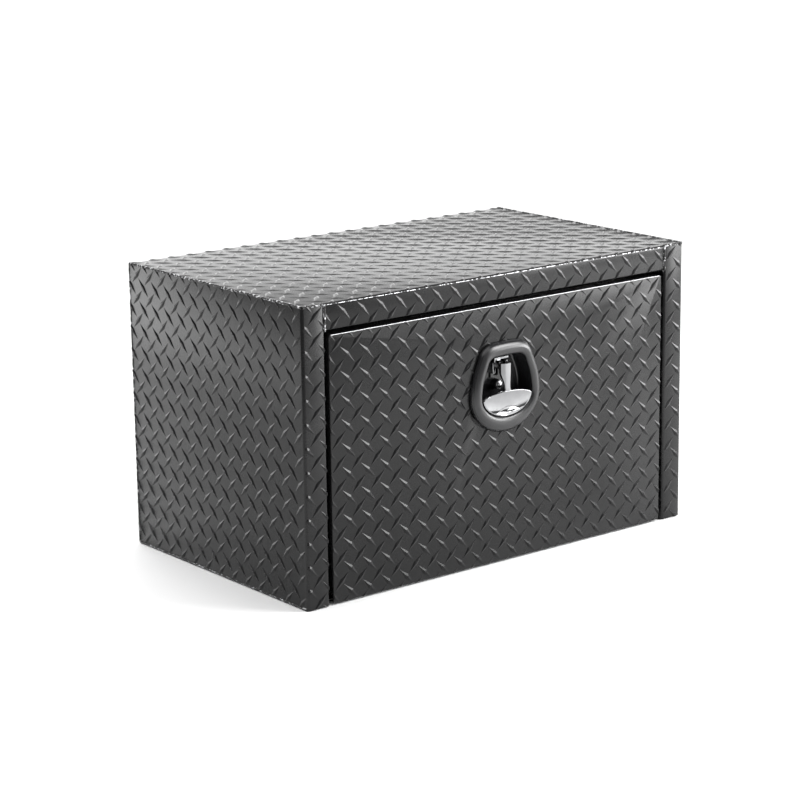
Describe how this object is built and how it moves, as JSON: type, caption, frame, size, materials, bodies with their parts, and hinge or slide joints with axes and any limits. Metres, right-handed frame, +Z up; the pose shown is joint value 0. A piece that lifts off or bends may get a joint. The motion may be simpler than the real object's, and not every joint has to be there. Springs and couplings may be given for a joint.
{
  "type": "underbody tool box",
  "caption": "Welded black tread plate tool box with a bottom-hinged drop-down front door, a recessed lift-handle latch with lock, and slotted side stays.",
  "frame": {"origin": "middle of the floor's underside", "axes": "+Z up, the door faces -Y, +X to the right when facing the door"},
  "size_m": [0.762, 0.4692, 0.4584],
  "materials": {
    "tread_plate": "black powder coat over raised tread",
    "smooth_sheet": "black powder coat on smooth sheet",
    "zinc_steel": "zinc plated",
    "chrome": "polished",
    "moulded_black": "satin rim, gloss bowl",
    "seal_rubber": "matt"
  },
  "bodies": {
    "case": {"case_wrap": "tread_plate", "side_sheet_left": "tread_plate", "side_sheet_right": "tread_plate", "sill_angle": "smooth_sheet", "strike_plate": "zinc_steel", "hinge_leaf_case": "zinc_steel", "hinge_pin": "zinc_steel", "strike_screw_left": "zinc_steel", "strike_screw_right": "zinc_steel", "seam_bead_left": "tread_plate", "seam_bead_right": "tread_plate", "stay_bracket_left": "zinc_steel", "stay_bracket_right": "zinc_steel", "stay_stud_left": "zinc_steel", "stay_stud_right": "zinc_steel"},
    "door": {"door_skin": "tread_plate", "door_inner_pan": "smooth_sheet", "hinge_leaf_door": "zinc_steel", "door_seal": "seal_rubber", "door_stiffener_left": "smooth_sheet", "door_stiffener_right": "smooth_sheet", "latch_bowl": "moulded_black", "latch_gasket": "seal_rubber", "latch_clamp": "zinc_steel", "latch_screw_1": "zinc_steel", "latch_screw_2": "zinc_steel", "latch_screw_3": "zinc_steel", "latch_screw_4": "zinc_steel", "pivot_hub": "chrome", "pivot_pin": "zinc_steel", "bolt_guide": "zinc_steel", "bolt_spring": "zinc_steel", "lock_barrel": "chrome", "stay_tab_left": "zinc_steel", "stay_tab_right": "zinc_steel", "stay_rivet_left": "zinc_steel", "stay_rivet_right": "zinc_steel"},
    "handle": {"lift_handle": "chrome", "handle_lever": "zinc_steel", "drive_pin": "zinc_steel"},
    "bolt": {"latch_bolt": "zinc_steel"},
    "lock": {"lock_plug": "chrome", "lock_cam": "zinc_steel", "lock_cam_screw": "zinc_steel"},
    "stay_left": {"stay_arm_left": "zinc_steel"},
    "stay_right": {"stay_arm_right": "zinc_steel"}
  },
  "joints": [
    {"name": "door_swing", "type": "hinge", "parent": "case", "child": "door", "pos_m": [0, -0.2208, 0.0078], "axis": [1, 0, 0], "range_deg": [0, 85]},
    {"name": "handle_lift", "type": "hinge", "parent": "door", "child": "handle", "pos_m": [0, -0.2206, 0.314], "axis": [-1, 0, 0], "range_deg": [0, 28]},
    {"name": "bolt_draw", "type": "slide", "parent": "door", "child": "bolt", "axis": [0, 0, -1], "range_m": [0, 0.016], "stiffness_N_per_m": 600, "springref_m": -0.008, "deforming": ["bolt_spring"]},
    {"name": "lock_turn", "type": "hinge", "parent": "door", "child": "lock", "pos_m": [0, -0.2286, 0.281], "axis": [0, 1, 0], "range_deg": [0, 90]},
    {"name": "stay_swing_left", "type": "hinge", "parent": "door", "child": "stay_left", "pos_m": [-0.3135, -0.1921, 0.15503], "axis": [-1, 0, 0], "range_deg": [0, 42.5]},
    {"name": "stay_swing_right", "type": "hinge", "parent": "door", "child": "stay_right", "pos_m": [0.3135, -0.1921, 0.15503], "axis": [-1, 0, 0], "range_deg": [0, 42.5]}
  ],
  "couplings": [
    {"joint": "bolt_draw", "follows": "handle_lift", "m_per_rad": 0.0326},
    {"joint": "stay_swing_left", "follows": "door_swing", "ratio": 0.5},
    {"joint": "stay_swing_right", "follows": "door_swing", "ratio": 0.5}
  ]
}
